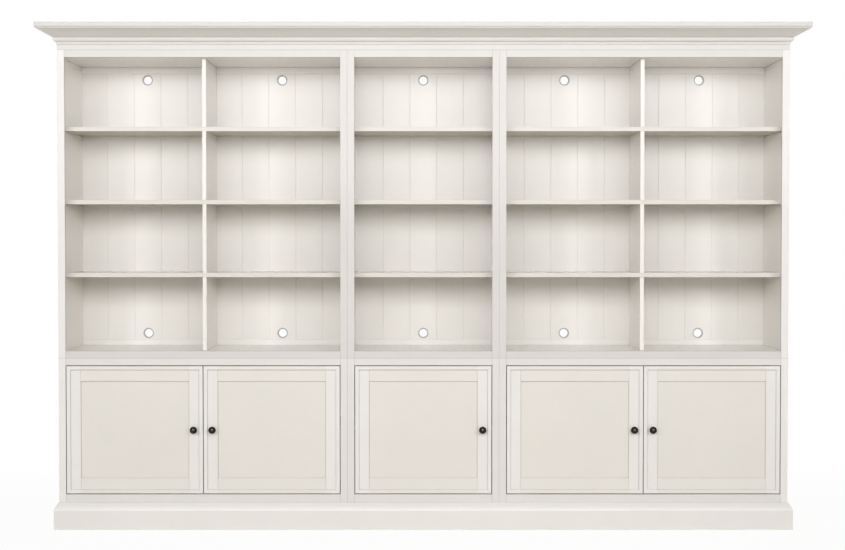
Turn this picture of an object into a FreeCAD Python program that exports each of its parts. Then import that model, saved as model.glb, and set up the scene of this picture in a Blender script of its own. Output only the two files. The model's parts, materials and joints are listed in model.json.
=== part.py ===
import FreeCAD, Part
import math
import os
from collections import namedtuple

# Display bookcase: three base cabinets with inset doors, three open hutches on
# top of them, one crown moulding and one plinth moulding round the whole run.
# Millimetres, +Z up, the front towards -Y. X = 0 is the middle of the run,
# Z = 0 is the floor, and Y = 0 is the middle of the overall depth.
# While it is built, y is measured back from the front of the face frames.

os.makedirs("parts", exist_ok=True)
Vector = FreeCAD.Vector

# Overall sizes
overall_height = 2311.0
base_height = 786.0
double_width = 1324.0
single_width = 696.0
body_depth = 450.0

# Boards and face frames
board = 19.0
frame_thickness = 20.0
stile_width = 32.0
hutch_top_rail = 33.0
hutch_bottom_rail = 32.0
base_top_rail = 33.0
base_bottom_rail = 100.0
base_floor_height = 160.0
edge_round = 1.0

# Backs: grooved planks, bevelled cable holes, strips along the top and bottom
back_thickness = 12.0
back_recess = 8.0
plank_width = 130.0
groove_width = 4.0
groove_depth = 2.0
cable_hole_radius = 19.05
cable_bevel_width = 6.35
cable_bevel_depth = 8.0
cable_hole_drop = 61.0
cable_hole_rise = 57.0
strip_thickness = 8.0
top_strip_height = 30.0
bottom_strip_height = 24.0

# Shelves and dividers
shelf_thickness = 20.0
shelf_setback = 61.0
shelf_end_gap = 0.5
lowest_shelf_clearance = 338.0
shelf_pitch = 336.5
base_shelf_clearance = 290.0
divider_thickness = 18.0

# Shelf pins
pin_radius = 2.5
pin_depth = 10.0
pin_reach = 12.0
pin_front_inset = 16.0
pin_back_inset = 40.0

# Doors
door_gap = 3.0
door_thickness = 22.0
door_stile = 64.5
door_rail = 71.0
rim_width = 18.0
rim_proud = 6.0
rim_round = 2.0
panel_recess = 7.0
panel_thickness = 5.0
panel_tongue = 8.0
panel_play = 0.5

# Door knobs and their screws
knob_radius = 17.0
knob_reach = 32.0
screw_radius = 2.0
screw_head_radius = 4.5
screw_head = 2.5
knob_screw_depth = 11.0

# Door pivots: a pin fixed in the rail turns in a bush let into the door
pivot_inset = 28.0
pivot_setback = 11.0
pivot_radius = 2.5
pivot_hold = 14.0
pivot_collar_radius = 4.0
bush_radius = 4.0
bush_length = 12.0

# Magnetic catches and their strike plates
catch_inset = 70.0
catch_width = 40.0
catch_depth = 15.0
catch_gap = 0.3
strike_width = 30.0
strike_height = 14.0
strike_margin = 2.0
strike_thickness = 1.2

# Bolts that join neighbouring units
bolt_radius = 3.0
sleeve_radius = 4.5
bolt_head_radius = 8.0
bolt_head = 2.0
bolt_front_inset = 50.0
bolt_back_inset = 60.0
bolt_end_inset = 80.0
bolt_tip_gap = 2.0

# Flat plates behind the joint between hutch and base
plate_width = 60.0
plate_height = 120.0
plate_thickness = 2.0
plate_screw_inset = 15.0
plate_screw_depth = 9.0

# Wall brackets on the hutch tops
bracket_width = 40.0
bracket_foot = 60.0
bracket_rise = 40.0
bracket_thickness = 2.0
bracket_hole_radius = 2.75
bracket_hole_drop = 14.0
bracket_screw_inset = 15.0
bracket_screw_spacing = 24.0
bracket_screw_depth = 14.0

# Levelling glides under the side panels
glide_radius = 9.5
glide_height = 8.0
glide_stem_radius = 3.0
glide_stem = 22.0
glide_inset = 40.0

# Crown moulding, from its foot up
frieze_height = 22.0
foot_hollow = 5.0
fillet_height = 6.0
fillet_reach = 4.0
neck_hollow = 5.0
neck_reach = 10.0
bead_height = 19.0
bead_reach = 15.0
bead_shoulder = 12.0
cove_height = 33.0
cove_sag = 1.5
fascia_height = 26.0
fascia_lip = 7.0
fascia_fillet_height = 7.0
fascia_fillet_setback = 3.0
crown_reach = 84.0
crown_board = 22.0

# Plinth moulding
plinth_height = 122.0
plinth_reach = 21.0
plinth_lip = 3.0
plinth_cap_height = 35.0
plinth_cap_bulge = 2.0

# Room round shanks and past their tips, and how near two places count as one
running_gap = 0.05
tip_gap = 1.0
same_place = 0.003

# How far the middle of a quarter round lies from the corner of its square, as a share of its side
quarter_share = 0.29

# Shares of a knob's radius and reach along its outline, from the foot to the dome's
# edge: each row ends where a line ends, or gives a point on an arc and the arc's end
knob_shares = [
    [(0.56, 0)],
    [(0.56, 0.05)],
    [(0.52, 0.09), (0.45, 0.10)],
    [(0.33, 0.28), (0.47, 0.48)],
    [(0.72, 0.58), (0.94, 0.62)],
    [(1, 0.70), (0.95, 0.80)],
    [(0.87, 0.86), (0.77, 0.84)],
    [(0.70, 0.80), (0.63, 0.84)],
]

# Derived heights, depths and counts
fillet_foot = frieze_height + foot_hollow
fillet_top = fillet_foot + fillet_height
bead_foot = fillet_top + neck_hollow
bead_top = bead_foot + bead_height
cove_top = bead_top + cove_height
crown_height = cove_top + fascia_height
hutch_top = overall_height - crown_height
opening_top = hutch_top - hutch_top_rail
hutch_floor = base_height + hutch_bottom_rail
base_opening_top = base_height - base_top_rail
inner_depth = body_depth - back_recess - back_thickness
back_face = inner_depth + back_thickness
deck_top = opening_top + board
shelf_count = round((opening_top - hutch_floor - lowest_shelf_clearance) / shelf_pitch)
cove_reach = crown_reach - fascia_lip
fascia_fillet_reach = crown_reach - fascia_fillet_setback
fascia_foot = cove_top + fascia_fillet_height
run_width = double_width + single_width + double_width
half_run = run_width / 2
face_y = (crown_reach - body_depth) / 2
door_foot = base_floor_height + door_gap
door_head = base_opening_top - door_gap
door_middle = (door_foot + door_head) / 2

Unit = namedtuple("Unit", "name left right columns")
Door = namedtuple("Door", "name left right hinge")


def all_units():
    """The three units from left to right, each with its x span and its columns."""
    left = -half_run
    units = []
    for name, width, columns in (("left", double_width, 2), ("centre", single_width, 1),
                                 ("right", double_width, 2)):
        units.append(Unit(name, left, left + width, columns))
        left += width
    return units


def columns_of(unit):
    """Clear x spans between side panels and divider."""
    low = unit.left + board
    high = unit.right - board
    if unit.columns == 1:
        return [(low, high)]
    middle = (unit.left + unit.right) / 2
    return [(low, middle - divider_thickness / 2), (middle + divider_thickness / 2, high)]


def all_doors():
    """The doors from left to right; hinge is -1 for a left hinge and +1 for a right one."""
    doors = []
    for unit in all_units():
        clear = unit.right - unit.left - stile_width * 2
        width = (clear - door_gap * (unit.columns + 1)) / unit.columns
        for column in range(unit.columns):
            left = unit.left + stile_width + door_gap + column * (width + door_gap)
            hinge = 1 if column == 1 else -1
            doors.append(Door("door_%d" % (len(doors) + 1), left, left + width, hinge))
    return doors


def shelf_heights():
    """Undersides of a hutch's shelves."""
    lowest = hutch_floor + lowest_shelf_clearance
    return [lowest + shelf_pitch * row for row in range(shelf_count)]


def save(node, solids):
    """Write one node, moved so that y = 0 is the middle of the overall depth."""
    shape = Part.makeCompound(solids)
    shape.translate(Vector(0, face_y, 0))
    shape.exportStep("parts/" + node + ".step")


def block(x, y, z):
    """A box from its x, y and z spans."""
    return Part.makeBox(x[1] - x[0], y[1] - y[0], z[1] - z[0], Vector(x[0], y[0], z[0]))


def rod(radius, start, along):
    """A round bar from a start point along a vector."""
    return Part.makeCylinder(radius, along.Length, start, along)


def straight_front_edges(solid):
    """Front edges of a solid that run along x or z."""
    front = solid.BoundBox.YMin
    edges = []
    for edge in solid.Edges:
        ends = [vertex.Point for vertex in edge.Vertexes]
        if len(ends) < 2 or max(abs(end.y - front) for end in ends) > same_place:
            continue
        step = ends[1] - ends[0]
        if min(abs(step.x), abs(step.z)) < same_place:
            edges.append(edge)
    return edges


def eased(solid, radius=edge_round):
    """The solid with its front edges rounded."""
    return solid.makeFillet(radius, straight_front_edges(solid))


def polygon_prism(points, along):
    """A prism over a closed outline."""
    return Part.Face(Part.makePolygon(points + points[:1])).extrude(along)


# Carcasses

def side_panels(unit, foot, head):
    """Left and right side panels of one cabinet."""
    return [block((unit.left, unit.left + board), (frame_thickness, body_depth), (foot, head)),
            block((unit.right - board, unit.right), (frame_thickness, body_depth), (foot, head))]


def drilled(solids, holes):
    """Every solid with every hole cut out of it that reaches it."""
    result = []
    for solid in solids:
        for hole in holes:
            if solid.BoundBox.intersect(hole.BoundBox):
                solid = solid.cut(hole)
        result.append(solid)
    return result


def between_sides(unit, y, z):
    """A board that fits between the side panels of a unit."""
    return block((unit.left + board, unit.right - board), y, z)


def face_frame(unit, foot, head, top_rail, bottom_rail):
    """Two stiles at full height, with a top and a bottom rail between them."""
    depth = (0, frame_thickness)
    rails = (unit.left + stile_width, unit.right - stile_width)
    return [eased(block((unit.left, rails[0]), depth, (foot, head))),
            eased(block((rails[1], unit.right), depth, (foot, head))),
            eased(block(rails, depth, top_rail)),
            eased(block(rails, depth, bottom_rail))]


def groove(x):
    """A V groove down the front of a hutch back."""
    low = x - groove_width / 2
    high = x + groove_width / 2
    points = [Vector(low, inner_depth, base_height), Vector(high, inner_depth, base_height),
              Vector(x, inner_depth + groove_depth, base_height)]
    return polygon_prism(points, Vector(0, 0, deck_top - base_height))


def cable_hole_places(column):
    """Centres of a column's upper and lower cable holes, on the front of the back."""
    middle = (column[0] + column[1]) / 2
    return [Vector(middle, inner_depth, opening_top - cable_hole_drop),
            Vector(middle, inner_depth, hutch_floor + cable_hole_rise)]


def cable_hole(centre):
    """A round hole through a hutch back, with a wide bevel round its front edge."""
    bore = rod(cable_hole_radius, centre, Vector(0, back_thickness, 0))
    bevel = Part.makeCone(cable_hole_radius + cable_bevel_width, cable_hole_radius, cable_bevel_depth,
                          centre, Vector(0, 1, 0))
    return bore.fuse(bevel)


def hutch_back(unit):
    """Back of a hutch: planks parted by V grooves, with bevelled cable holes."""
    panel = between_sides(unit, (inner_depth, back_face), (base_height, deck_top))
    for column in columns_of(unit):
        middle = (column[0] + column[1]) / 2
        half = (column[1] - column[0]) / 2
        step = plank_width / 2
        while step + groove_width < half:
            panel = panel.cut(groove(middle - step))
            panel = panel.cut(groove(middle + step))
            step += plank_width
        for centre in cable_hole_places(column):
            panel = panel.cut(cable_hole(centre))
    return panel


def back_strips(unit):
    """Strips in front of a hutch back, along the top and the bottom of each column."""
    strips = []
    depth = (inner_depth - strip_thickness, inner_depth)
    for column in columns_of(unit):
        strips.append(eased(block(column, depth, (opening_top - top_strip_height, opening_top))))
        strips.append(eased(block(column, depth, (hutch_floor, hutch_floor + bottom_strip_height))))
    return strips


# Shelves, dividers and pins

def shelf(unit, underside):
    """A full-width shelf that rests on four pins."""
    ends = (unit.left + board + shelf_end_gap, unit.right - board - shelf_end_gap)
    return eased(block(ends, (shelf_setback, inner_depth), (underside, underside + shelf_thickness)))


def divider_boards(unit):
    """Upright boards in the middle of a double hutch, one in each row."""
    middle = (unit.left + unit.right) / 2
    span = (middle - divider_thickness / 2, middle + divider_thickness / 2)
    floors = [hutch_floor] + [height + shelf_thickness for height in shelf_heights()]
    ceilings = shelf_heights() + [opening_top]
    depth = (shelf_setback, inner_depth)
    return [eased(block(span, depth, (low, high))) for low, high in zip(floors, ceilings)]


def pin_places(unit, underside):
    """Axis points on the side panels, and the way in, of the four pins of one shelf."""
    places = []
    for y in (shelf_setback + pin_front_inset, inner_depth - pin_back_inset):
        places.append((Vector(unit.left + board, y, underside - pin_radius), 1))
        places.append((Vector(unit.right - board, y, underside - pin_radius), -1))
    return places


def shelf_pins(unit, underside):
    """Four pins under one shelf."""
    length = pin_depth + pin_reach
    return [rod(pin_radius, face - Vector(way * pin_depth, 0, 0), Vector(way * length, 0, 0))
            for face, way in pin_places(unit, underside)]


def pin_holes(unit, underside):
    """The holes in the side panels for the pins of one shelf."""
    radius = pin_radius + running_gap
    return [rod(radius, face - Vector(way * pin_depth, 0, 0), Vector(way * pin_depth, 0, 0))
            for face, way in pin_places(unit, underside)]


# Fasteners

def joint_bolt_places():
    """Points on the joint faces between units where a bolt passes."""
    heights = (base_floor_height + bolt_end_inset, base_opening_top - bolt_end_inset,
               hutch_floor + bolt_end_inset, opening_top - bolt_end_inset)
    places = []
    for unit in all_units()[1:]:
        for y in (bolt_front_inset, body_depth - bolt_back_inset):
            for z in heights:
                places.append(Vector(unit.left, y, z))
    return places


def bolt_holes():
    """Holes and head recesses for the joining bolts."""
    holes = []
    for place in joint_bolt_places():
        start = place - Vector(board, 0, 0)
        holes.append(rod(sleeve_radius + running_gap, start, Vector(board * 2, 0, 0)))
        holes.append(rod(bolt_head_radius, start, Vector(bolt_head, 0, 0)))
        holes.append(rod(bolt_head_radius, place + Vector(board, 0, 0), Vector(-bolt_head, 0, 0)))
    return holes


def joining_bolts():
    """A flanged sleeve from one side and a bolt from the other, flush in the panels."""
    pieces = []
    grip = board * 2 - bolt_head
    for place in joint_bolt_places():
        start = place - Vector(board, 0, 0)
        end = place + Vector(board, 0, 0)
        sleeve = rod(sleeve_radius, start, Vector(grip, 0, 0))
        sleeve = sleeve.fuse(rod(bolt_head_radius, start, Vector(bolt_head, 0, 0)))
        bore_start = start + Vector(bolt_head, 0, 0)
        pieces.append(sleeve.cut(rod(bolt_radius + running_gap, bore_start, Vector(grip, 0, 0))))
        bolt = rod(bolt_radius, end, Vector(bolt_head + bolt_tip_gap - board * 2, 0, 0))
        pieces.append(bolt.fuse(rod(bolt_head_radius, end, Vector(-bolt_head, 0, 0))))
    return pieces


def wood_screw(seat, along, depth, sink):
    """A screw with a round flat head on a seat, its shank going the way of along."""
    shank = rod(screw_radius, seat, along * (depth + sink))
    return shank.fuse(rod(screw_head_radius, seat, along * -screw_head))


def screw_hole(seat, along, depth):
    """The hole for a screw's shank."""
    return rod(screw_radius + running_gap, seat, along * depth)


def plate_middles():
    """Middle of each joining plate, on the rear of the backs."""
    return [Vector((column[0] + column[1]) / 2, back_face, base_height)
            for unit in all_units() for column in columns_of(unit)]


def plate_screw_seats(middle):
    """Where the four screws of a joining plate enter the backs."""
    across = plate_width / 2 - plate_screw_inset
    upright = plate_height / 2 - plate_screw_inset
    return [middle + Vector(x, 0, z) for x in (-across, across) for z in (-upright, upright)]


def joining_plates():
    """Plates behind the joint between hutch and base, with their screws."""
    pieces = []
    forward = Vector(0, -1, 0)
    outward = Vector(0, plate_thickness, 0)
    for middle in plate_middles():
        plate = block((middle.x - plate_width / 2, middle.x + plate_width / 2),
                      (back_face, back_face + plate_thickness),
                      (middle.z - plate_height / 2, middle.z + plate_height / 2))
        seats = [seat + outward for seat in plate_screw_seats(middle)]
        for seat in seats:
            plate = plate.cut(screw_hole(seat, forward, plate_thickness))
        pieces.append(plate)
        pieces += [wood_screw(seat, forward, plate_screw_depth, plate_thickness) for seat in seats]
    return pieces


def plate_holes():
    """Holes in the backs for the screws of the joining plates."""
    return [screw_hole(seat, Vector(0, -1, 0), plate_screw_depth + tip_gap)
            for middle in plate_middles() for seat in plate_screw_seats(middle)]


def bracket_middles():
    """Middle of each wall bracket, on the deck of a hutch at the rear plane."""
    return [Vector((column[0] + column[1]) / 2, body_depth, deck_top)
            for unit in all_units() for column in columns_of(unit)]


def bracket_screw_seats(middle):
    """Where the two screws of a wall bracket enter the top board."""
    front = body_depth - bracket_foot + bracket_screw_inset
    across = bracket_screw_spacing / 2
    return [Vector(middle.x + x, front, deck_top) for x in (-across, across)]


def wall_brackets():
    """Angle brackets on the hutch decks, with a hole in the wall leg, and their screws."""
    pieces = []
    down = Vector(0, 0, -1)
    for middle in bracket_middles():
        across = (middle.x - bracket_width / 2, middle.x + bracket_width / 2)
        foot = block(across, (body_depth - bracket_foot, body_depth),
                     (deck_top, deck_top + bracket_thickness))
        leg = block(across, (body_depth - bracket_thickness, body_depth),
                    (deck_top, deck_top + bracket_rise))
        bracket = foot.fuse(leg).removeSplitter()
        hole = Vector(middle.x, body_depth, deck_top + bracket_rise - bracket_hole_drop)
        bracket = bracket.cut(rod(bracket_hole_radius, hole, Vector(0, -bracket_thickness, 0)))
        seats = [seat + Vector(0, 0, bracket_thickness) for seat in bracket_screw_seats(middle)]
        for seat in seats:
            bracket = bracket.cut(screw_hole(seat, down, bracket_thickness))
        pieces.append(bracket)
        pieces += [wood_screw(seat, down, bracket_screw_depth, bracket_thickness) for seat in seats]
    return pieces


def bracket_holes():
    """Holes in the top boards for the screws of the wall brackets."""
    return [screw_hole(seat, Vector(0, 0, -1), bracket_screw_depth + tip_gap)
            for middle in bracket_middles() for seat in bracket_screw_seats(middle)]


def glide_places():
    """Where the levelling glides meet the feet of the side panels."""
    places = []
    for unit in all_units():
        for x in (unit.left + board / 2, unit.right - board / 2):
            for y in (frame_thickness + glide_inset, body_depth - glide_inset):
                places.append(Vector(x, y, glide_height))
    return places


def levelling_glides():
    """Round pads on the floor, each with a stem up into a side panel."""
    glides = []
    for place in glide_places():
        pad = rod(glide_radius, place, Vector(0, 0, -glide_height))
        glides.append(pad.fuse(rod(glide_stem_radius, place, Vector(0, 0, glide_stem))))
    return glides


def glide_holes():
    """Holes in the feet of the side panels for the glides."""
    return [rod(glide_stem_radius + running_gap, place, Vector(0, 0, glide_stem + tip_gap))
            for place in glide_places()]


# Doors

def free_edge(door):
    """x of the edge that swings, and the way from it towards the hinge."""
    return (door.right, -1) if door.hinge < 0 else (door.left, 1)


def pivot_x(door):
    """x of the door's turning axis."""
    edge = door.left if door.hinge < 0 else door.right
    return edge - door.hinge * pivot_inset


def knob_centre(door):
    """Centre of the knob, in the middle of the flat between the rim and the panel."""
    edge, inward = free_edge(door)
    return Vector(edge + inward * (rim_width + door_stile) / 2, rim_proud, door_middle)


def panel_spans(door):
    """x and z spans of the panel, with its tongues."""
    return ((door.left + door_stile - panel_tongue, door.right - door_stile + panel_tongue),
            (door_foot + door_rail - panel_tongue, door_head - door_rail + panel_tongue))


def door_panel(door):
    """The recessed flat panel."""
    x, z = panel_spans(door)
    front = rim_proud + panel_recess
    return block(x, (front, front + panel_thickness), z)


def rim_strip(points):
    """One mitred strip of the raised rim."""
    strip = polygon_prism(points, Vector(0, rim_proud, 0))
    return eased(strip, rim_round)


def door_rim(door):
    """Four mitred strips round the edge of the door."""
    def corners(inset):
        low = (door.left + inset, door_foot + inset)
        high = (door.right - inset, door_head - inset)
        return [low, (high[0], low[1]), high, (low[0], high[1])]
    outer = corners(0)
    inner = corners(rim_width)
    strips = []
    for corner in range(len(outer)):
        following = (corner + 1) % len(outer)
        ring = [outer[corner], outer[following], inner[following], inner[corner]]
        strips.append(rim_strip([Vector(x, 0, z) for x, z in ring]))
    return strips


def bush_places(door):
    """Outer ends of the two pivot bushes, and the way into the door."""
    x = pivot_x(door)
    return [(Vector(x, pivot_setback, door_foot), 1), (Vector(x, pivot_setback, door_head), -1)]


def door_frame(door):
    """Two stiles, two rails grooved for the panel, and the rim strips on their front."""
    depth = (rim_proud, door_thickness)
    rails = (door.left + door_stile, door.right - door_stile)
    members = [block((door.left, rails[0]), depth, (door_foot, door_head)),
               block((rails[1], door.right), depth, (door_foot, door_head)),
               block(rails, depth, (door_foot, door_foot + door_rail)),
               block(rails, depth, (door_head - door_rail, door_head))]
    members = [eased(member) for member in members]
    x, z = panel_spans(door)
    front = rim_proud + panel_recess
    slot = block((x[0] - panel_play, x[1] + panel_play), (front, front + panel_thickness),
                 (z[0] - panel_play, z[1] + panel_play))
    holes = [slot, rod(screw_radius + running_gap, knob_centre(door), Vector(0, door_thickness, 0))]
    for end, way in bush_places(door):
        holes.append(rod(bush_radius + running_gap, end, Vector(0, 0, way * bush_length)))
    return drilled(members, holes) + door_rim(door)


def knob_outline():
    """Half of a knob's section: foot ring, waist, head with a ring, and a low dome."""
    def at(radius_share, reach_share):
        return Vector(radius_share * knob_radius, 0, reach_share * knob_reach)
    lines = []
    here = at(0, 0)
    for row in knob_shares:
        points = [here] + [at(*pair) for pair in row]
        curve = Part.Arc(*points) if len(row) > 1 else Part.LineSegment(*points)
        lines.append(curve.toShape())
        here = points[-1]
    top = at(0, 1)
    rise = top.z - here.z
    dome_radius = (here.x ** 2 + rise ** 2) / (rise * 2)
    half_angle = math.asin(here.x / dome_radius) / 2
    between = Vector(math.sin(half_angle), 0, math.cos(half_angle) - 1) * dome_radius
    lines.append(Part.Arc(here, top + between, top).toShape())
    lines.append(Part.LineSegment(top, at(0, 0)).toShape())
    return Part.Face(Part.Wire(lines))


def knob(door):
    """Turned knob on the front of the door, bored for its screw."""
    body = knob_outline().revolve(Vector(0, 0, 0), Vector(0, 0, 1), 360)
    body.rotate(Vector(0, 0, 0), Vector(1, 0, 0), 90)
    body.translate(knob_centre(door))
    bore = rod(screw_radius + running_gap, knob_centre(door), Vector(0, -knob_screw_depth - tip_gap, 0))
    return body.cut(bore)


def knob_screw(door):
    """Machine screw from inside the door into the knob."""
    seat = knob_centre(door) + Vector(0, door_thickness - rim_proud, 0)
    return wood_screw(seat, Vector(0, -1, 0), knob_screw_depth, door_thickness - rim_proud)


def strike_plate(door):
    """Steel plate on the inside of the door, met by the magnetic catch."""
    edge, inward = free_edge(door)
    middle = edge + inward * catch_inset
    head = door_head - strike_margin
    return block((middle - strike_width / 2, middle + strike_width / 2),
                 (door_thickness, door_thickness + strike_thickness), (head - strike_height, head))


def pivot_bushes(door):
    """Bushes let into the foot and the head of the hinge stile."""
    bushes = []
    for end, way in bush_places(door):
        bush = rod(bush_radius, end, Vector(0, 0, way * bush_length))
        bushes.append(bush.cut(rod(pivot_radius + running_gap, end, Vector(0, 0, way * bush_length))))
    return bushes


def pivot_pins(door):
    """Pins fixed in the rails; the lower one has a collar that carries the door."""
    pins = []
    for end, way in bush_places(door):
        start = end - Vector(0, 0, way * (door_gap + pivot_hold))
        length = pivot_hold + door_gap + bush_length - tip_gap
        pin = rod(pivot_radius, start, Vector(0, 0, way * length))
        if way > 0:
            pin = pin.fuse(rod(pivot_collar_radius, end, Vector(0, 0, -door_gap)))
        pins.append(pin)
    return pins


def pivot_holes(door):
    """Holes in the rails for the pivot pins."""
    holes = []
    for end, way in bush_places(door):
        start = end - Vector(0, 0, way * door_gap)
        holes.append(rod(pivot_radius + running_gap, start, Vector(0, 0, -way * pivot_hold)))
    return holes


def door_catch(door):
    """Magnetic catch under the top board of the base."""
    edge, inward = free_edge(door)
    middle = edge + inward * catch_inset
    front = door_thickness + strike_thickness + catch_gap
    return block((middle - catch_width / 2, middle + catch_width / 2), (front, front + catch_depth),
                 (door_head - strike_margin - strike_height, base_height - board))


# Mouldings

def rounded_foot(at):
    """The eased lower edge of a moulding's front."""
    return Part.Arc(at(-edge_round, 0), at(-edge_round * quarter_share, edge_round * quarter_share),
                    at(0, edge_round))


def hollow(at, low, high):
    """A hollow that leaves a lower point upright and comes forward to a higher one."""
    out = low[0] + (high[0] - low[0]) * quarter_share
    up = high[1] - (high[1] - low[1]) * quarter_share
    return Part.Arc(at(*low), at(out, up), at(*high))


def crown_outline(at):
    """Crown profile: frieze, fillet between two hollows, round bead, wide cove, fillet and fascia."""
    edges = [Part.LineSegment(at(-crown_board, 0), at(-edge_round, 0)),
             rounded_foot(at),
             Part.LineSegment(at(0, edge_round), at(0, frieze_height)),
             hollow(at, (0, frieze_height), (fillet_reach, fillet_foot)),
             Part.LineSegment(at(fillet_reach, fillet_foot), at(fillet_reach, fillet_top)),
             hollow(at, (fillet_reach, fillet_top), (neck_reach, bead_foot)),
             Part.Arc(at(neck_reach, bead_foot), at(bead_reach, bead_foot + bead_height / 2),
                      at(bead_shoulder, bead_top)),
             Part.Arc(at(bead_shoulder, bead_top),
                      at((bead_shoulder + cove_reach) / 2 - cove_sag * cove_height / cove_reach,
                         (bead_top + cove_top) / 2 + cove_sag),
                      at(cove_reach, cove_top)),
             Part.LineSegment(at(cove_reach, cove_top), at(fascia_fillet_reach, cove_top)),
             Part.LineSegment(at(fascia_fillet_reach, cove_top), at(fascia_fillet_reach, fascia_foot)),
             Part.LineSegment(at(fascia_fillet_reach, fascia_foot), at(crown_reach, fascia_foot)),
             Part.LineSegment(at(crown_reach, fascia_foot), at(crown_reach, crown_height)),
             Part.LineSegment(at(crown_reach, crown_height), at(-crown_board, crown_height)),
             Part.LineSegment(at(-crown_board, crown_height), at(-crown_board, 0))]
    return Part.Face(Part.Wire([edge.toShape() for edge in edges]))


def plinth_outline(at):
    """Plinth profile: a flat board whose top slopes back in one gently bulging arc."""
    shoulder = plinth_height - plinth_cap_height
    setback = plinth_reach - plinth_lip
    slope = math.atan2(setback, plinth_cap_height)
    middle = at((plinth_lip + plinth_reach) / 2 + plinth_cap_bulge * math.cos(slope),
                (plinth_height + shoulder) / 2 + plinth_cap_bulge * math.sin(slope))
    edges = [Part.LineSegment(at(0, 0), at(0, plinth_height)),
             Part.LineSegment(at(0, plinth_height), at(plinth_lip, plinth_height)),
             Part.Arc(at(plinth_lip, plinth_height), middle, at(plinth_reach, shoulder)),
             Part.LineSegment(at(plinth_reach, shoulder), at(plinth_reach, 0)),
             Part.LineSegment(at(plinth_reach, 0), at(0, 0))]
    return Part.Face(Part.Wire([edge.toShape() for edge in edges]))


def mitred(outline, foot, height, inner, reach):
    """A moulding along the front and down both ends, mitred at the front corners."""
    def front_at(out, up):
        return Vector(-half_run - reach, -out, foot + up)

    def left_at(out, up):
        return Vector(-half_run - out, -reach, foot + up)

    def plan(points):
        return polygon_prism([Vector(x, y, foot) for x, y in points], Vector(0, 0, height))
    front = outline(front_at).extrude(Vector((half_run + reach) * 2, 0, 0))
    front = front.common(plan([(inner - half_run, inner), (half_run - inner, inner),
                               (half_run + reach, -reach), (-half_run - reach, -reach)]))
    left = outline(left_at).extrude(Vector(0, reach + body_depth, 0))
    left = left.common(plan([(inner - half_run, inner), (-half_run - reach, -reach),
                             (-half_run - reach, body_depth), (inner - half_run, body_depth)]))
    right = left.mirror(Vector(0, 0, 0), Vector(1, 0, 0))
    return front, left, right


# Whole bookcase

def build():
    """Make and write every node."""
    units = all_units()
    doors = all_doors()
    bolts = bolt_holes()
    glides = glide_holes()
    plates = plate_holes()
    pivots = [hole for door in doors for hole in pivot_holes(door)]
    pins = []
    for unit in units:
        hutch_pins = [hole for height in shelf_heights() for hole in pin_holes(unit, height)]
        base_shelf = base_floor_height + base_shelf_clearance
        sides = side_panels(unit, base_height, hutch_top)
        save(unit.name + "_hutch_sides", drilled(sides, bolts + hutch_pins))
        frame = face_frame(unit, base_height, hutch_top, (opening_top, hutch_top),
                           (base_height, hutch_floor))
        save(unit.name + "_hutch_frame", frame)
        save(unit.name + "_hutch_back", drilled([hutch_back(unit)], plates))
        save(unit.name + "_hutch_shelves", [shelf(unit, height) for height in shelf_heights()])
        if unit.columns > 1:
            save(unit.name + "_hutch_dividers", divider_boards(unit))
        sides = side_panels(unit, glide_height, base_height)
        save(unit.name + "_base_sides", drilled(sides, bolts + glides + pin_holes(unit, base_shelf)))
        frame = face_frame(unit, glide_height, base_height, (base_opening_top, base_height),
                           (base_floor_height - base_bottom_rail, base_floor_height))
        save(unit.name + "_base_frame", drilled(frame, pivots))
        for height in shelf_heights() + [base_shelf]:
            pins += shelf_pins(unit, height)
    deck = (frame_thickness, inner_depth)
    rear = (inner_depth, back_face)
    tops = [between_sides(unit, deck, (opening_top, deck_top)) for unit in units]
    save("hutch_tops", drilled(tops, bracket_holes()))
    save("hutch_bottoms", [between_sides(unit, deck, (hutch_floor - board, hutch_floor))
                           for unit in units])
    save("hutch_back_strips", [strip for unit in units for strip in back_strips(unit)])
    save("base_tops", [between_sides(unit, deck, (base_height - board, base_height)) for unit in units])
    save("base_bottoms", [between_sides(unit, deck, (base_floor_height - board, base_floor_height))
                          for unit in units])
    backs = [between_sides(unit, rear, (base_floor_height - board, base_height)) for unit in units]
    save("base_backs", drilled(backs, plates))
    save("base_shelves", [shelf(unit, base_floor_height + base_shelf_clearance) for unit in units])
    for door in doors:
        save(door.name + "_frame", door_frame(door))
        save(door.name + "_panel", [door_panel(door)])
        save(door.name + "_knob", [knob(door)])
        save(door.name + "_hardware", [knob_screw(door), strike_plate(door)] + pivot_bushes(door))
    save("shelf_pins", pins)
    save("connector_bolts", joining_bolts())
    save("joining_plates", joining_plates())
    save("levelling_glides", levelling_glides())
    save("door_catches", [door_catch(door) for door in doors])
    save("pivot_pins", [pin for door in doors for pin in pivot_pins(door)])
    save("anti_tip_brackets", wall_brackets())
    crown = mitred(crown_outline, hutch_top, crown_height, crown_board, crown_reach)
    plinth = mitred(plinth_outline, 0, plinth_height, 0, plinth_reach)
    for name, solids in (("crown", crown), ("plinth", plinth)):
        for place, solid in zip(("front", "left", "right"), solids):
            save(name + "_" + place, [solid])


build()
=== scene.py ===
import json
import math
from collections import namedtuple

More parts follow.
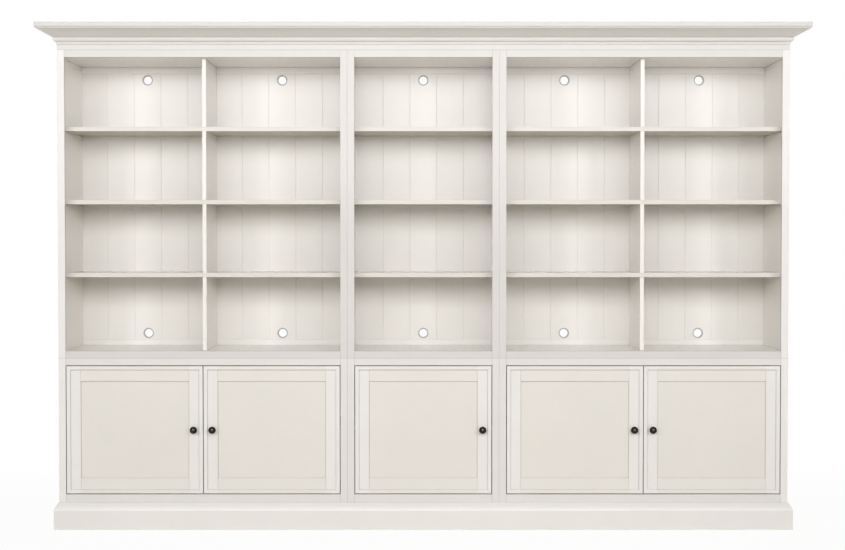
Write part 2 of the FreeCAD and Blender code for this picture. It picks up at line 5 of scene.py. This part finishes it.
import bpy
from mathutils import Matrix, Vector


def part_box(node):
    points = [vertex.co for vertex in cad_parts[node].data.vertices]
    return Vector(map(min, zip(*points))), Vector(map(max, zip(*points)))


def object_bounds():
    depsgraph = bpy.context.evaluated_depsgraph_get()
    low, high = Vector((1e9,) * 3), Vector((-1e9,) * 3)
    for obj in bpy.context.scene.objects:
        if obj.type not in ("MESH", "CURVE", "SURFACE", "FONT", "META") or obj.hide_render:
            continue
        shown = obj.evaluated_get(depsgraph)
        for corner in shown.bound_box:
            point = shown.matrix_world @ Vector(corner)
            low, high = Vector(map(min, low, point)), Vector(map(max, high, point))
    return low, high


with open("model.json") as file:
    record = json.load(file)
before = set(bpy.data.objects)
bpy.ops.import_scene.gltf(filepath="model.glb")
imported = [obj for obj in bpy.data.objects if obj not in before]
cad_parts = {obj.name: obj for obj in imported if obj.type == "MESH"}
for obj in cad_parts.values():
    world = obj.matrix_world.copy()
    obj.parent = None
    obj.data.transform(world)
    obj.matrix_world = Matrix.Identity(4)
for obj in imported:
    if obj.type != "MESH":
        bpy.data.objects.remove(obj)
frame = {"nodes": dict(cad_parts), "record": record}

# Display bookcase: looks of the painted boards, the bronze knobs and the small
# fittings, and a pale floor, soft lamps and a camera round them. Metres, +Z up,
# the front towards -Y.

cad_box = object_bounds()
cad_high = cad_box[1]

# Camera, at the photograph's place
camera_place = Vector((-0.0037, -7.140, 1.3302))
camera_pitch = math.radians(-1.34)
camera_lens = 64.76
sensor_width = 36.0

# Lamps: soft boxes that look at the middle of the bookcase, four behind the camera, one
# between camera and bookcase, and one behind the bookcase for its rear and top. The middle
# and the near one show in the paint's gloss, the others don't. Power is in watts.
Lamp = namedtuple("Lamp", "name place size power sheen")
lamp_target = Vector((0, 0, 1.25))
lamp_y = -7.8
lamp_height = 2.68
middle_lamp_size = (2.6, 1.3)
middle_lamp_power = 8.0
side_lamp_x = 5.6
side_lamp_size = (1.6, 1.1)
side_lamp_power = 146.0
high_lamp_height = 3.87
high_lamp_size = (7.5, 1.5)
high_lamp_power = 126.0
near_lamp_place = (0, -4.4, 2.30)
near_lamp_size = (6.0, 1.3)
near_lamp_power = 60.0
rear_lamp_place = (0, 6.5, 4.2)
rear_lamp_size = (5.0, 2.0)
rear_lamp_power = 150.0
lamps = [
    Lamp("lamp_middle", (0, lamp_y, lamp_height), middle_lamp_size, middle_lamp_power, True),
    Lamp("lamp_left", (-side_lamp_x, lamp_y, lamp_height), side_lamp_size, side_lamp_power, False),
    Lamp("lamp_right", (side_lamp_x, lamp_y, lamp_height), side_lamp_size, side_lamp_power, False),
    Lamp("lamp_high", (0, lamp_y, high_lamp_height), high_lamp_size, high_lamp_power, False),
    Lamp("lamp_near", near_lamp_place, near_lamp_size, near_lamp_power, True),
    Lamp("lamp_behind", rear_lamp_place, rear_lamp_size, rear_lamp_power, False),
]
ambient_strength = 0.25
ambient_colour = (1.00, 0.95, 0.87, 1.0)

white = (1.0, 1.0, 1.0, 1.0)

# Floor: how much of its own shading stays under the object, and where that ends
floor_half = 12.0
floor_keep = 0.04
floor_fade_from = 0.25
floor_fade_to = 1.6
speckle_size = 0.025
speckle_detail = 3.0

# Boards, as they are in the frame
stile_width = 0.032
door_stile = 0.0645
plank_width = 0.130
rim_radius = 0.0254

# Slack of places that are worked out from the frame, the digits that they are compared by,
# and the cosine from which a face counts as square to an axis
rim_margin = 0.0016
skin = 0.001
place_digits = 4
flat_normal = 0.95

# Noise: its finer layers, how strong they are, and the span that holds most of it
noise_detail = 2.0
noise_rough = 0.5
noise_low = 0.3
noise_high = 0.7

# Paint: sizes of its marks, how far they change its tone, and how high they stand
brush_length = 0.071
brush_width = 0.0024
brush_detail = 4.0
brush_rough = 0.6
mottle_size = 0.28
mottle_detail = 3.0
mottle_rough = 0.55
blotch_size = 0.042
peel_size = 0.0014
peel_detail = 1.0
sheen_size = 0.017
brush_tone = 0.006
mottle_tone = 0.012
blotch_tone = 0.004
plank_tone = 0.010
gloss_swing = 0.03
brush_height = 0.00012
brush_strength = 0.30
peel_height = 0.00004
peel_strength = 0.25

# Painted shade in joints, creases and grooves and under overhanging edges: how far it reaches, how much
# it leans upwards as if lit from above, the share of open sky at its darkest and at its edge, and its tone
joint_shade_reach = 0.004
joint_shade_samples = 8
joint_shade_lean = 0.9
joint_shade_dark = 0.3
joint_shade_open = 0.9
joint_shade_tone = 0.35
inner_joint_shade_tone = 0.70
groove_shade_tone = 0.90
# Painted shade on the cable holes' bevels
hole_shade_tone = 0.62

# The middle of a node's own box, as a share of it
middle = 0.5

# Roughness
paint_rough = 0.21
primer_rough = 0.72

# Bronze: its patina, its finish, and where its painted highlight and glint lie, as shares of a knob's width
patina_size = 0.0038
patina_detail = 4.0
patina_rough = 0.6
patina_grain = 0.002
patina_grain_detail = 3.0
patina_tone = 0.25
patina_height = 0.0001
patina_strength = 0.15
bronze_rough = (0.17, 0.28)
bronze_metal = 0.35
bronze_index = 1.38
highlight_middle = 0.60
highlight_reach = 0.20
glint_ring = 0.43
glint_width = 0.05
glint_foot = 0.10
glint_top = 0.30
highlight_patches = (0.7, 1.0)

# Zinc and nylon: sizes of their lines, clouds and grain, x, y and z where they differ
zinc_detail = 3.0
zinc_line_size = (0.017, 0.017, 0.00055)
zinc_line_tone = 0.08
zinc_line_height = 0.00003
zinc_line_strength = 0.2
zinc_cloud_size = 0.011
zinc_rough = (0.26, 0.40)
nylon_flow_size = (0.0083, 0.0083, 0.033)
nylon_grain_size = 0.0006
nylon_grain_height = 0.00003
nylon_grain_strength = 0.3
nylon_rough = (0.42, 0.56)

# Colours, linear. Parts of the one paint carry painted light and shade: the hutch frames, crown and
# shelves are darker, and the backs, their top strips and the boards of the case lighter
hutch_frame_shaded_colour = (0.700, 0.682, 0.671)
base_frame_colour = (0.760, 0.742, 0.728)
# Painted sheen: the end stiles are lighter
end_stile_sheen_colour = (0.832, 0.818, 0.815)
board_lit_colour = (0.890, 0.867, 0.832)
shelf_shaded_colour = (0.736, 0.712, 0.678)
# Painted shade under the shelves
underside_shade_colour = (0.532, 0.497, 0.402)
back_lit_colour = (0.930, 0.910, 0.882)
strip_lit_colour = (0.950, 0.932, 0.906)
door_colour = (0.790, 0.768, 0.733)
door_stile_colour = (0.820, 0.806, 0.788)
panel_colour = (0.780, 0.756, 0.715)
crown_shaded_colour = (0.708, 0.690, 0.674)
plinth_colour = (0.820, 0.802, 0.788)
primer_colour = (0.700, 0.670, 0.620)
bronze_colour = (0.016, 0.012, 0.010)
# Painted highlight on the knobs
highlight_colour = (0.250, 0.215, 0.190)
steel_colour = (0.560, 0.565, 0.570)
warm_steel_colour = (0.620, 0.600, 0.560)
nylon_colour = (0.740, 0.730, 0.700)
flow_colour = (0.700, 0.690, 0.655)
floor_colour = (0.800, 0.765, 0.700)
speckle_colour = (0.785, 0.750, 0.685)


class Look:
    """The node tree of a material or world, with short ways to add and join nodes."""

    mix_sockets = {"FLOAT": (2, 3, 0), "VECTOR": (4, 5, 1), "RGBA": (6, 7, 2)}

    def __init__(self, owner):
        owner.use_nodes = True
        self.owner = owner
        self.tree = owner.node_tree
        self.tree.nodes.clear()

    def add(self, kind, inputs=None, **settings):
        """A node of that kind; a socket among its inputs is linked, other values are set."""
        made = self.tree.nodes.new("ShaderNode" + kind)
        for key, value in settings.items():
            setattr(made, key, value)
        for key, value in (inputs or {}).items():
            if isinstance(value, bpy.types.NodeSocket):
                self.tree.links.new(value, made.inputs[key])
            else:
                made.inputs[key].default_value = value
        return made

    def maths(self, operation, *values):
        """The result of a sum, product or comparison of numbers or sockets."""
        return self.add("Math", dict(enumerate(values)), operation=operation).outputs[0]

    def place(self):
        """The place in the row frame, in metres."""
        return self.add("TexCoord").outputs["Object"]

    def share(self):
        """The place as a share of the node's own box."""
        return self.add("TexCoord").outputs["Generated"]

    def part_of(self, vector):
        """The x, y and z of a vector."""
        return self.add("SeparateXYZ", {0: vector}).outputs

    def away(self, value, *marks):
        """How far a value lies from the nearest of some marks."""
        gaps = [self.maths("ABSOLUTE", self.maths("SUBTRACT", value, mark)) for mark in marks]
        nearest = gaps[0]
        for gap in gaps[1:]:
            nearest = self.maths("MINIMUM", nearest, gap)
        return nearest

    def across(self, x, y):
        """The length of a flat vector."""
        squares = [self.maths("MULTIPLY", value, value) for value in (x, y)]
        return self.maths("SQRT", self.maths("ADD", *squares))

    def noise(self, vector, size, detail=noise_detail, rough=noise_rough):
        """Smooth noise round 0.5 with marks of about that size, or of one size on each axis."""
        if isinstance(size, tuple):
            scales = tuple(1 / length for length in size)
            vector = self.add("VectorMath", {0: vector, 1: scales}, operation="MULTIPLY").outputs[0]
            size = 1.0
        inputs = {"Vector": vector, "Scale": 1 / size, "Detail": detail, "Roughness": rough}
        return self.add("TexNoise", inputs).outputs["Fac"]

    def spread(self, value, low, high, start=noise_low, stop=noise_high):
        """The value moved from the span start..stop, which holds most noise, to low..high."""
        inputs = {"Value": value, "From Min": start, "From Max": stop, "To Min": low, "To Max": high}
        return self.add("MapRange", inputs).outputs["Result"]

    def mixed(self, factor, a, b, kind="FLOAT"):
        """Value a where the factor is 0 and value b where it is 1."""
        first, second, result = self.mix_sockets[kind]
        if kind == "RGBA":
            a, b = (value if isinstance(value, bpy.types.NodeSocket) else (*value, 1.0) for value in (a, b))
        return self.add("Mix", {0: factor, first: a, second: b}, data_type=kind).outputs[result]

    def toned(self, colour, factor):
        """The colour made lighter or darker by a factor near 1."""
        return self.add("VectorMath", {0: colour, "Scale": factor}, operation="SCALE").outputs[0]

    def bumped(self, height, strength, distance, under=None):
        """A normal that follows a height, over another bump if there is one."""
        inputs = {"Height": height, "Strength": strength, "Distance": distance}
        if under:
            inputs["Normal"] = under
        return self.add("Bump", inputs).outputs["Normal"]

    def end(self, shader, output="OutputMaterial"):
        """Ends the tree in a shader node."""
        surface = self.add(output)
        self.tree.links.new(shader.outputs[0], surface.inputs["Surface"])
        return self.owner

    def finish(self, **inputs):
        """Ends the tree in the one plain shader, with those inputs."""
        named = {key.replace("_", " "): value for key, value in inputs.items()}
        return self.end(self.add("BsdfPrincipled", named))


def new_look(name):
    """A new material's look."""
    return Look(bpy.data.materials.new(name))


# Painted boards

def brush_marks(look, place, grain):
    """Brush marks along an axis, or along each board where the grain is a function.

    The function gives 1 on boards that stand and 0 on boards that lie.
    """
    def along(axis):
        size = tuple(brush_length if a == axis else brush_width for a in "xyz")
        return look.noise(place, size, brush_detail, brush_rough)
    if callable(grain):
        return look.mixed(grain(look, place), along("x"), along("z"))
    return along(grain)


def on_case_stiles(look, place):
    """1 on the stiles of the case frames, 0 on their rails."""
    aside = look.maths("ABSOLUTE", look.part_of(place)["X"])
    edges = [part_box(side + "_hutch_frame")[1].x for side in ("centre", "right")]
    return look.maths("LESS_THAN", look.away(aside, *edges), stile_width)


def on_end_stiles(look, place):
    """1 on the outermost stile at each end of the run."""
    aside = look.maths("ABSOLUTE", look.part_of(place)["X"])
    return look.maths("GREATER_THAN", aside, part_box("right_hutch_frame")[1].x - stile_width)


def on_undersides(look, place):
    """1 on faces that look straight down."""
    facing = look.part_of(look.add("NewGeometry").outputs["True Normal"])["Z"]
    return look.maths("LESS_THAN", facing, -flat_normal)


def on_door_stiles(look, place):
    """1 on the stiles of a door, 0 on its rails."""
    low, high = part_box("door_1_frame")
    off_middle = look.away(look.part_of(look.share())["X"], middle)
    return look.maths("GREATER_THAN", off_middle, middle - door_stile / (high.x - low.x))


def cable_holes():
    """Places of the cable holes' axes."""
    return [Vector(mount["pos_m"]) for mount in frame["record"]["mounts"]
            if mount["name"].startswith("cable_hole")]


def on_hole_edges(look, place):
    """1 on the bevels and bores of the cable holes."""
    axes = cable_holes()
    here = look.part_of(place)
    columns = sorted({round(abs(axis.x), place_digits) for axis in axes})
    rows = sorted({round(axis.z, place_digits) for axis in axes})
    aside = look.away(look.maths("ABSOLUTE", here["X"]), *columns)
    radius = look.across(aside, look.away(here["Z"], *rows))
    facing = look.part_of(look.add("NewGeometry").outputs["True Normal"])["Y"]
    sloped = look.maths("LESS_THAN", look.maths("ABSOLUTE", facing), flat_normal)
    return look.maths("MULTIPLY", sloped, look.maths("LESS_THAN", radius, rim_radius + rim_margin))


def of_planks(look, place):
    """A small tone of its own for each plank of the backs."""
    x = look.part_of(place)["X"]
    aside = look.maths("ABSOLUTE", x)
    low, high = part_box("right_hutch_frame")
    unit_middle = (low.x + high.x) / 2
    outer = look.maths("GREATER_THAN", aside, low.x)
    from_divider = look.maths("SUBTRACT", aside, unit_middle)
    column_shift = max(abs(axis.x) for axis in cable_holes()) - unit_middle
    from_column = look.maths("SUBTRACT", look.maths("ABSOLUTE", from_divider), column_shift)
    plank = look.maths("ROUND", look.maths("DIVIDE", look.mixed(outer, x, from_column), plank_width))
    column = look.maths("MULTIPLY", look.maths("SIGN", from_divider), outer)
    key = look.add("CombineXYZ", {0: plank, 1: column, 2: look.maths("SIGN", x)}).outputs[0]
    value = look.add("TexWhiteNoise", {"Vector": key}, noise_dimensions="3D").outputs["Value"]
    return look.spread(value, -plank_tone, plank_tone, 0.0, 1.0)


def on_rear(look, place):
    """1 on the faces of the backs that look to the rear."""
    facing = look.part_of(look.add("NewGeometry").outputs["True Normal"])["Y"]
    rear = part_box("left_hutch_back")[1].y - skin
    behind = look.maths("GREATER_THAN", look.part_of(place)["Y"], rear)
    return look.maths("MULTIPLY", look.maths("GREATER_THAN", facing, flat_normal), behind)


def painted(name, colour, grain, darkest_shade=joint_shade_tone, backs=False, where=None, other=None):
    """Satin paint on wood: slow mottling, brush marks along the board, fine peel, painted shade in joints.

    On the backs each plank has its own tone, the hole bevels are darkened as painted shade and the rear is
    primed.
    Where a function gives 1, the paint has the other colour.
    """
    look = new_look(name)
    place = look.place()
    brush = brush_marks(look, place, grain)
    mottle = look.noise(place, mottle_size, mottle_detail, mottle_rough)
    tones = [look.spread(mottle, 1 - mottle_tone, 1 + mottle_tone),
             look.spread(look.noise(place, blotch_size), -blotch_tone, blotch_tone),
             look.spread(brush, -brush_tone, brush_tone)]
    if backs:
        tones.append(of_planks(look, place))
    tone = tones[0]
    for more in tones[1:]:
        tone = look.maths("ADD", tone, more)
    # Painted shade: occlusion looked for as if from above darkens joints and the faces under edges
    upward = look.add("VectorMath", {0: look.add("NewGeometry").outputs["True Normal"],
                                     1: (0.0, 0.0, joint_shade_lean)}, operation="ADD").outputs[0]
    leaning = look.add("VectorMath", {0: upward}, operation="NORMALIZE").outputs[0]
    sky = look.add("AmbientOcclusion", {"Distance": joint_shade_reach, "Normal": leaning},
                   samples=joint_shade_samples)
    joint_shade = sky.outputs["AO"]
    tone = look.maths("MULTIPLY", tone, look.spread(joint_shade, darkest_shade, 1.0, joint_shade_dark, joint_shade_open))
    gloss = look.noise(place, sheen_size)
    roughness = look.spread(gloss, paint_rough - gloss_swing, paint_rough + gloss_swing)
    if backs:
        # Painted shade on the bevels and bores of the cable holes
        tone = look.maths("MULTIPLY", tone, look.mixed(on_hole_edges(look, place), 1.0, hole_shade_tone))
    if where:
        colour = look.mixed(where(look, place), colour, other, "RGBA")
    base = look.toned(colour, tone)
    if backs:
        rear = on_rear(look, place)
        base = look.mixed(rear, base, primer_colour, "RGBA")
        roughness = look.mixed(rear, roughness, primer_rough)
    normal = look.bumped(look.noise(place, peel_size, peel_detail), peel_strength, peel_height)
    normal = look.bumped(brush, brush_strength, brush_height, normal)
    return look.finish(Base_Color=base, Roughness=roughness, Normal=normal)


# Metals and plastic

def bronze(name):
    """Oil-rubbed bronze: dark brown patina, with a painted highlight above the middle and a painted glint
    on the lower edge.
    """
    look = new_look(name)
    share = look.part_of(look.share())
    aside = look.maths("SUBTRACT", share["X"], middle)
    off_axis = look.across(aside, look.maths("SUBTRACT", share["Z"], middle))
    # Painted glint on the lower edge and painted highlight above the middle, in a lighter colour
    glint = look.spread(look.away(off_axis, glint_ring), 1.0, 0.0, 0.0, glint_width)
    glint = look.maths("MULTIPLY", glint, look.spread(share["Z"], 1.0, 0.0, glint_foot, glint_top))
    off_highlight = look.across(aside, look.maths("SUBTRACT", share["Z"], highlight_middle))
    highlight_mask = look.maths("MAXIMUM", glint, look.spread(off_highlight, 1.0, 0.0, 0.0, highlight_reach))
    place = look.place()
    patches = look.noise(place, patina_size, patina_detail, patina_rough)
    painted_highlight = look.maths("MULTIPLY", highlight_mask, look.spread(patches, *highlight_patches))
    base = look.mixed(painted_highlight, bronze_colour, highlight_colour, "RGBA")
    base = look.toned(base, look.spread(patches, 1 - patina_tone, 1 + patina_tone))
    roughness = look.spread(look.noise(place, patina_grain, patina_grain_detail), *bronze_rough)
    normal = look.bumped(patches, patina_strength, patina_height)
    return look.finish(Base_Color=base, Metallic=bronze_metal, IOR=bronze_index, Roughness=roughness,
                       Normal=normal)


def steel(name):
    """Bright zinc on pressed steel: fine lines and cloudy tone."""
    look = new_look(name)
    place = look.place()
    lines = look.noise(place, zinc_line_size, zinc_detail)
    cloud = look.noise(place, zinc_cloud_size, zinc_detail)
    base = look.mixed(look.spread(cloud, 0.0, 1.0), steel_colour, warm_steel_colour, "RGBA")
    base = look.toned(base, look.spread(lines, 1 - zinc_line_tone, 1 + zinc_line_tone))
    roughness = look.spread(cloud, *zinc_rough)
    normal = look.bumped(lines, zinc_line_strength, zinc_line_height)
    return look.finish(Base_Color=base, Metallic=1.0, Roughness=roughness, Normal=normal)


def nylon(name):
    """Moulded nylon: fine matt grain and faint flow marks."""
    look = new_look(name)
    place = look.place()
    flow = look.noise(place, nylon_flow_size)
    grain = look.noise(place, nylon_grain_size)
    base = look.mixed(look.spread(flow, 0.0, 1.0), nylon_colour, flow_colour, "RGBA")
    roughness = look.spread(grain, *nylon_rough)
    normal = look.bumped(grain, nylon_grain_strength, nylon_grain_height)
    return look.finish(Base_Color=base, Roughness=roughness, Normal=normal)


def dress_nodes():
    """Gives every node of the frame the look of its slot and of its boards' direction."""
    lying = painted("case_paint_lying", board_lit_colour, "x", darkest_shade=inner_joint_shade_tone)
    # The shelves' undersides get a darker, warmer colour as painted shade
    shelf = painted("case_paint_shelf", shelf_shaded_colour, "x", darkest_shade=inner_joint_shade_tone, where=on_undersides,
                    other=underside_shade_colour)
    standing = painted("case_paint_standing", board_lit_colour, "z", darkest_shade=inner_joint_shade_tone)
    # The outermost stiles are painted lighter as a sheen
    framed = {kind: painted("case_paint_%s_frame" % kind, colour, on_case_stiles, where=on_end_stiles,
                            other=end_stile_sheen_colour)
              for kind, colour in (("hutch", hutch_frame_shaded_colour), ("base", base_frame_colour))}
    door_framed = painted("door_paint_frame", door_colour, on_door_stiles, where=on_door_stiles,
                          other=door_stile_colour)
    door_panel = painted("door_paint_panel", panel_colour, "z")
    planks = painted("back_paint_planks", back_lit_colour, "z", darkest_shade=groove_shade_tone, backs=True)
    strips = painted("back_paint_strips", strip_lit_colour, "x", darkest_shade=groove_shade_tone)
    trims = {(kind, grain): painted("%s_paint_%s" % (kind, grain), colour, grain)
             for kind, colour in (("crown", crown_shaded_colour), ("plinth", plinth_colour)) for grain in "xy"}
    metals = {"knob_bronze": bronze("knob_bronze_patina"), "hardware_steel": steel("hardware_zinc"),
              "moulded_nylon": nylon("moulded_nylon_grain")}
    for row in frame["record"]["subparts"]:
        name = row["node"]
        slot = row["material_slot"]
        if slot in metals:
            look = metals[slot]
        elif slot == "door_paint":
            look = door_framed if name.endswith("_frame") else door_panel
        elif slot == "back_paint":
            look = strips if name.endswith("_strips") else planks
        elif slot == "trim_paint":
            look = trims[name.split("_")[0], "x" if name.endswith("_front") else "y"]
        elif name.endswith("_frame"):
            look = framed[name.split("_")[1]]
        elif name.endswith(("_sides", "_dividers")):
            look = standing
        elif name.endswith("_shelves"):
            look = shelf
        else:
            look = lying
        for material_slot in frame["nodes"][name].material_slots:
            material_slot.material = look


# Stage, light and camera

def seen_directly(look):
    """1 for rays from the camera and for those mirrored or let through, 0 for diffuse light."""
    path = look.add("LightPath").outputs
    either = look.maths("MAXIMUM", path["Is Camera Ray"], path["Is Glossy Ray"])
    return look.maths("MAXIMUM", either, path["Is Transmission Ray"])


def make_floor():
    """A pale floor that is white in the picture but for the object's own soft shadow."""
    corners = [(x * floor_half, y * floor_half, 0) for x, y in ((-1, -1), (1, -1), (1, 1), (-1, 1))]
    mesh = bpy.data.meshes.new("floor")
    mesh.from_pydata(corners, [], [range(len(corners))])
    floor = bpy.data.objects.new("floor", mesh)
    bpy.context.scene.collection.objects.link(floor)
    look = new_look("floor_pale")
    here = look.part_of(look.place())
    outside = [look.maths("SUBTRACT", look.maths("ABSOLUTE", here[axis]), high)
               for axis, high in (("X", cad_high.x), ("Y", cad_high.y))]
    keep = look.spread(look.maths("MAXIMUM", *outside), floor_keep, 0.0, floor_fade_from, floor_fade_to)
    lit = look.maths("MULTIPLY", seen_directly(look), look.maths("SUBTRACT", 1.0, keep))
    speckle = look.spread(look.noise(look.place(), speckle_size, speckle_detail), 0.0, 1.0)
    matt = look.add("BsdfDiffuse", {"Color": look.mixed(speckle, floor_colour, speckle_colour, "RGBA")})
    bright = look.add("Emission", {"Strength": 1.0})
    shader = look.add("MixShader", {0: lit, 1: matt.outputs[0], 2: bright.outputs[0]})
    mesh.materials.append(look.end(shader))


def make_world():
    """White behind the object, and a lower even light on it."""
    world = bpy.data.worlds.new("studio")
    bpy.context.scene.world = world
    look = Look(world)
    even = look.add("Background", {"Color": ambient_colour, "Strength": ambient_strength})
    bright = look.add("Background", {"Color": white, "Strength": 1.0})
    shader = look.add("MixShader", {0: seen_directly(look), 1: even.outputs[0], 2: bright.outputs[0]})
    look.end(shader, "OutputWorld")


def make_lamp(lamp):
    """A soft rectangular lamp that looks at the middle of the bookcase."""
    data = bpy.data.lights.new(lamp.name, "AREA")
    data.shape = "RECTANGLE"
    data.size, data.size_y = lamp.size
    data.energy = lamp.power
    made = bpy.data.objects.new(lamp.name, data)
    made.location = lamp.place
    made.rotation_euler = (lamp_target - Vector(lamp.place)).to_track_quat("-Z", "Y").to_euler()
    made.visible_glossy = lamp.sheen
    made.visible_camera = False
    bpy.context.scene.collection.objects.link(made)


def make_camera():
    """The camera at the photograph's place and angle."""
    data = bpy.data.cameras.new("camera")
    data.lens = camera_lens
    data.sensor_width = sensor_width
    camera = bpy.data.objects.new("camera", data)
    camera.location = camera_place
    camera.rotation_euler = (math.pi / 2 + camera_pitch, 0, 0)
    bpy.context.scene.collection.objects.link(camera)
    bpy.context.scene.camera = camera


make_camera()
make_world()
for lamp in lamps:
    make_lamp(lamp)
make_floor()
dress_nodes()
bpy.context.scene.view_settings.view_transform = "Standard"
